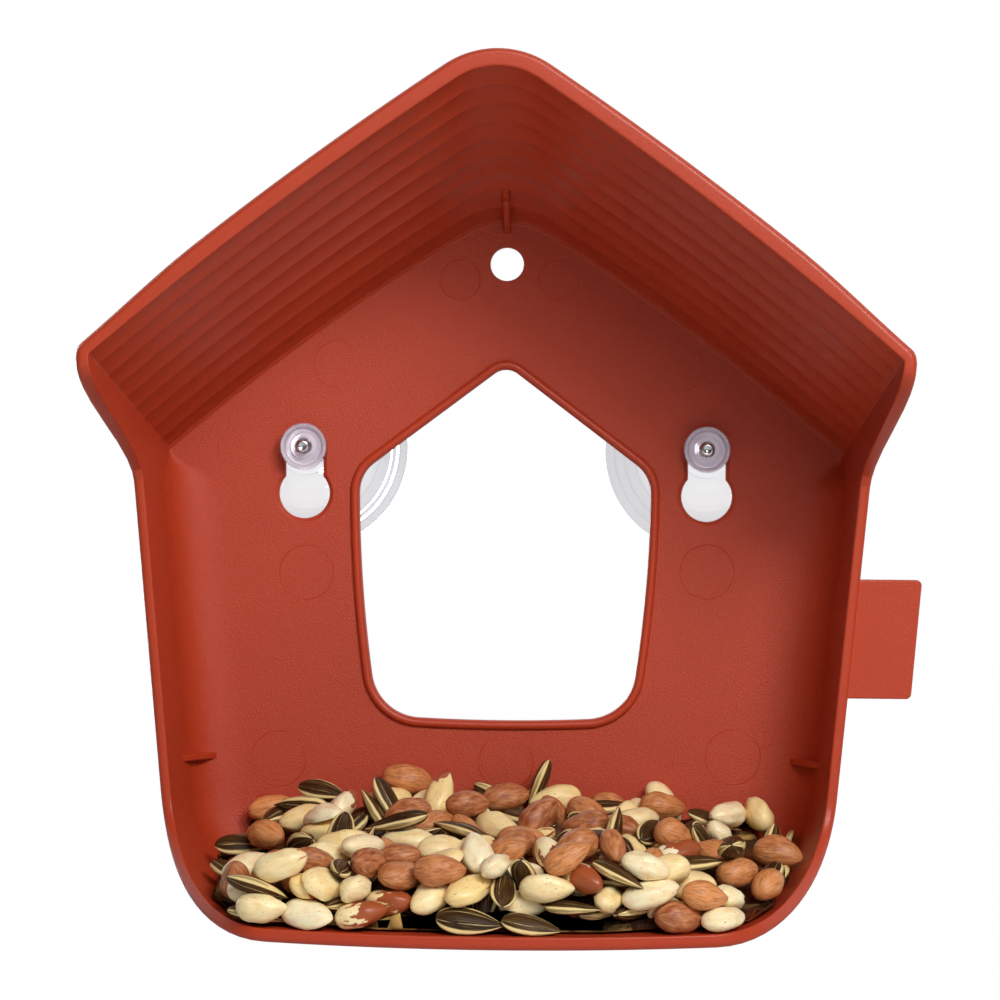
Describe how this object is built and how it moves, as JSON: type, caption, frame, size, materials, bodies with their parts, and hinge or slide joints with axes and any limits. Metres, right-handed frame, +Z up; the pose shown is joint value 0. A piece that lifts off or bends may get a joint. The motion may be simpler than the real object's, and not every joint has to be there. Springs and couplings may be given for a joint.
{
  "type": "window bird feeder",
  "caption": "House-shaped bird feeder moulded in one piece, with a seed tray, a window in its back and keyholes that hang it on suction cups with thumb nuts.",
  "frame": {"origin": "on the window pane, midway between the axes of the two suction cups", "axes": "+X to the right as seen from the room side, +Z up, +Y towards the pane"},
  "size_m": [0.2222, 0.11, 0.2323],
  "materials": {
    "terracotta_plastic": "fine leather grain, smoother on rims and beads",
    "clear_vinyl": "clear, polished",
    "zinc_plated_steel": "zinc plated",
    "striped_husk": "satin, black with pale stripes",
    "peanut_skin": "dull papery skin",
    "blanched_flesh": "satin",
    "mixed_feed": "rough"
  },
  "bodies": {
    "pane_side": {"suction_cup_left": "clear_vinyl", "suction_cup_right": "clear_vinyl", "screw_left": "zinc_plated_steel", "screw_right": "zinc_plated_steel"},
    "house": {"house_shell": "terracotta_plastic", "seed_bed": "mixed_feed", "sunflower_seed_1": "striped_husk", "sunflower_seed_2": "striped_husk", "sunflower_seed_3": "striped_husk", "sunflower_seed_4": "striped_husk", "sunflower_seed_5": "striped_husk", "sunflower_seed_6": "striped_husk", "sunflower_seed_7": "striped_husk", "sunflower_seed_8": "striped_husk", "sunflower_seed_9": "striped_husk", "sunflower_seed_10": "striped_husk", "sunflower_seed_11": "striped_husk", "sunflower_seed_12": "striped_husk", "sunflower_seed_13": "striped_husk", "sunflower_seed_14": "striped_husk", "sunflower_seed_15": "striped_husk", "sunflower_seed_16": "striped_husk", "sunflower_seed_17": "striped_husk", "peanut_1": "peanut_skin", "peanut_2": "peanut_skin", "peanut_3": "peanut_skin", "peanut_4": "peanut_skin", "peanut_5": "peanut_skin", "peanut_6": "peanut_skin", "peanut_7": "peanut_skin", "peanut_8": "peanut_skin", "peanut_9": "peanut_skin", "peanut_10": "peanut_skin", "peanut_11": "peanut_skin", "peanut_12": "peanut_skin", "peanut_13": "peanut_skin", "peanut_14": "peanut_skin", "peanut_15": "peanut_skin", "peanut_16": "peanut_skin", "peanut_17": "peanut_skin", "blanched_peanut_1": "blanched_flesh", "blanched_peanut_2": "blanched_flesh", "blanched_peanut_3": "blanched_flesh", "blanched_peanut_4": "blanched_flesh", "blanched_peanut_5": "blanched_flesh", "blanched_peanut_6": "blanched_flesh", "blanched_peanut_7": "blanched_flesh", "blanched_peanut_8": "blanched_flesh", "blanched_peanut_9": "blanched_flesh", "blanched_peanut_10": "blanched_flesh", "blanched_peanut_11": "blanched_flesh", "blanched_peanut_12": "blanched_flesh", "blanched_peanut_13": "blanched_flesh", "blanched_peanut_14": "blanched_flesh", "blanched_peanut_15": "blanched_flesh", "blanched_peanut_16": "blanched_flesh", "blanched_peanut_17": "blanched_flesh"},
    "nut_left": {"thumb_nut_left": "clear_vinyl"},
    "nut_right": {"thumb_nut_right": "clear_vinyl"}
  },
  "joints": [
    {"name": "house_lift", "type": "slide", "parent": "pane_side", "child": "house", "axis": [0, 0, 1], "range_m": [0, 0.013]},
    {"name": "nut_left_turn", "type": "hinge", "parent": "pane_side", "child": "nut_left", "pos_m": [-0.0563, 0, 0], "axis": [0, 1, 0], "continuous": true},
    {"name": "nut_right_turn", "type": "hinge", "parent": "pane_side", "child": "nut_right", "pos_m": [0.0563, 0, 0], "axis": [0, 1, 0], "continuous": true}
  ]
}
